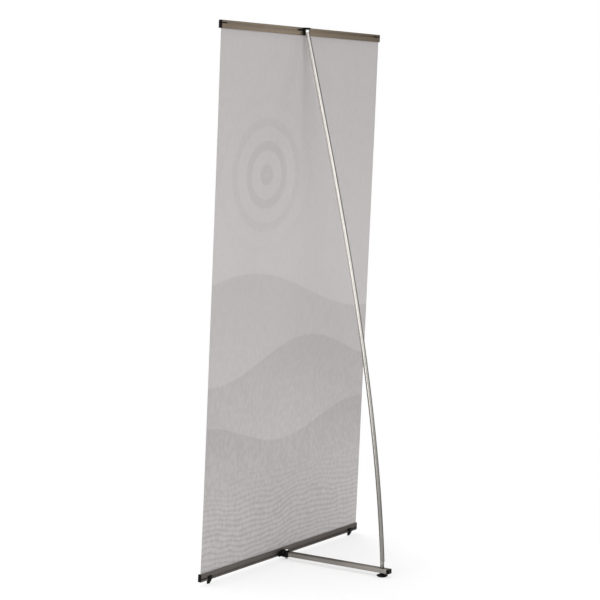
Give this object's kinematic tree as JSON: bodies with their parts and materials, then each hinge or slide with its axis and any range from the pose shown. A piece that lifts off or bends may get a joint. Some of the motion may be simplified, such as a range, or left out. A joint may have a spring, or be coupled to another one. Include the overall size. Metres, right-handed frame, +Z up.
{
  "type": "banner stand",
  "caption": "Sheet banner stretched between clamp rails, leaning back and held up by a bowed pole that stands on a swivelling floor arm with a levelling foot.",
  "frame": {"origin": "middle of the footprint, on the floor", "axes": "+Z up; +X along the rails, to the right as seen by someone who looks at the print; the print faces -Y and the arm and pole stand on the +Y side"},
  "size_m": [1.0166, 0.4972, 1.9989],
  "materials": {
    "top_rail": "satin anodised, warm grey",
    "bottom_rail": "satin anodised, darker warm grey",
    "arm_aluminium": "satin anodised, grey",
    "pole_aluminium": "bright satin aluminium",
    "steel_parts": "zinc-plated, fine grain",
    "black_screws": "black",
    "black_plastic": "moulded, fine texture",
    "grip_rubber": "matte",
    "cord": "elastic core in a woven sleeve",
    "banner": "fine knitted polyester, pale grey print showing through"
  },
  "bodies": {
    "panel": {"top_rail_back": "top_rail", "top_grip_back": "grip_rubber", "top_end_cap_left": "black_plastic", "top_end_cap_right": "black_plastic", "bottom_rail_back": "bottom_rail", "bottom_grip_back": "grip_rubber", "bottom_end_cap_left": "black_plastic", "bottom_end_cap_right": "black_plastic", "banner_sheet": "banner", "rail_foot_left": "black_plastic", "rail_foot_right": "black_plastic", "pivot_bracket": "black_plastic", "bracket_screw_left": "black_screws", "bracket_screw_right": "black_screws", "pivot_pin": "steel_parts", "pivot_washer_upper": "steel_parts", "pivot_washer_lower": "steel_parts", "pivot_nut": "steel_parts", "top_connector": "black_plastic", "connector_screw_left": "black_screws", "connector_screw_right": "black_screws"},
    "top_jaw": {"top_rail_jaw": "top_rail", "top_grip_front": "grip_rubber"},
    "bottom_jaw": {"bottom_rail_jaw": "bottom_rail", "bottom_grip_front": "grip_rubber"},
    "arm": {"arm_knuckle": "black_plastic", "arm_tube": "arm_aluminium", "arm_rivet": "steel_parts", "arm_end_cap": "black_plastic", "pole_peg": "pole_aluminium", "pole_lower": "pole_aluminium", "pole_middle": "pole_aluminium", "pole_upper": "pole_aluminium", "ferrule_lower": "steel_parts", "ferrule_upper": "steel_parts", "cord_anchor": "black_plastic", "pole_tip": "pole_aluminium", "shock_cord": "cord"},
    "foot_pad_body": {"foot_pad": "grip_rubber"},
    "foot": {"foot_disc": "black_plastic", "foot_stud": "steel_parts"}
  },
  "joints": [
    {"name": "top_jaw_hinge", "type": "hinge", "parent": "panel", "child": "top_jaw", "pos_m": [0, -0.14132, 1.99537], "axis": [-1, 0, 0], "range_deg": [0, 55]},
    {"name": "bottom_jaw_hinge", "type": "hinge", "parent": "panel", "child": "bottom_jaw", "pos_m": [0, -0.24491, 0.01889], "axis": [1, 0, 0], "range_deg": [0, 55]},
    {"name": "arm_swivel", "type": "hinge", "parent": "panel", "child": "arm", "pos_m": [0.01, -0.21522, 0.0235], "axis": [0, 0.048, 0.9988], "range_deg": [-85, 85]},
    {"name": "foot_rise", "type": "slide", "parent": "arm", "child": "foot_pad_body", "axis": [0, 0, -1], "range_m": [0, 0.005]},
    {"name": "foot_turn", "type": "hinge", "parent": "foot_pad_body", "child": "foot", "pos_m": [0.01, 0.21427, 0.008], "axis": [0, 0, -1], "range_deg": [0, 1440]}
  ],
  "couplings": [
    {"joint": "foot_turn", "follows": "foot_rise", "rad_per_m": 5026}
  ]
}
